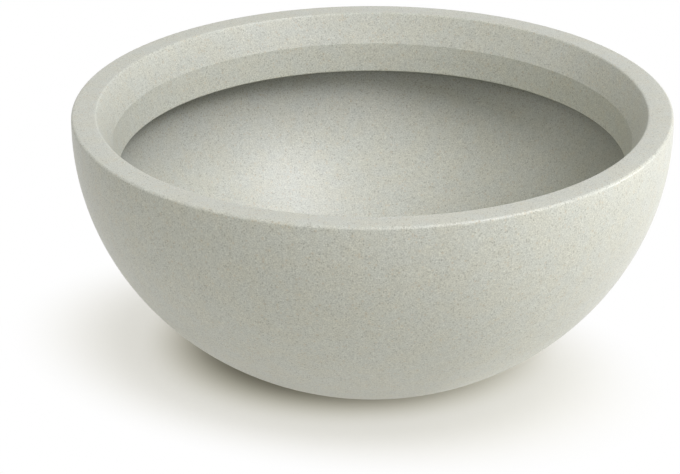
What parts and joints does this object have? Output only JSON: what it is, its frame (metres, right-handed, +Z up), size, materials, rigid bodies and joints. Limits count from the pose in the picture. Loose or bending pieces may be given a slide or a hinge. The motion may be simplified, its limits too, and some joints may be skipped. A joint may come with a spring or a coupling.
{
  "type": "concrete bowl planter",
  "caption": "Low round bowl planter in speckled concrete with a thick stepped rim, an overhanging inner collar, a plugged floor drain and rubber foot pads.",
  "frame": {"origin": "centre of the ground plane under the foot pads, on the bowl's axis", "axes": "+Z up along the bowl's axis; +X and +Y lie midway between the foot pads, and the plug's grip lies along X"},
  "size_m": [0.5, 0.5, 0.233],
  "materials": {
    "concrete": "smooth cast, finely speckled",
    "mortar": "struck flush, matt",
    "grey_plastic": "moulded, satin",
    "dark_rubber": "moulded, matt"
  },
  "bodies": {
    "planter": {"bowl_shell": "concrete", "rim_collar": "concrete", "collar_mortar": "mortar", "drain_sleeve": "grey_plastic", "drain_gasket": "dark_rubber", "drain_nut": "grey_plastic", "drain_strainer": "grey_plastic", "foot_pad_1": "dark_rubber", "foot_pad_2": "dark_rubber", "foot_pad_3": "dark_rubber", "foot_pad_4": "dark_rubber"},
    "plug": {"drain_plug": "dark_rubber"}
  },
  "joints": [
    {"name": "plug_lift", "type": "slide", "parent": "planter", "child": "plug", "axis": [0, 0, 1], "range_m": [0, 0.25]}
  ]
}
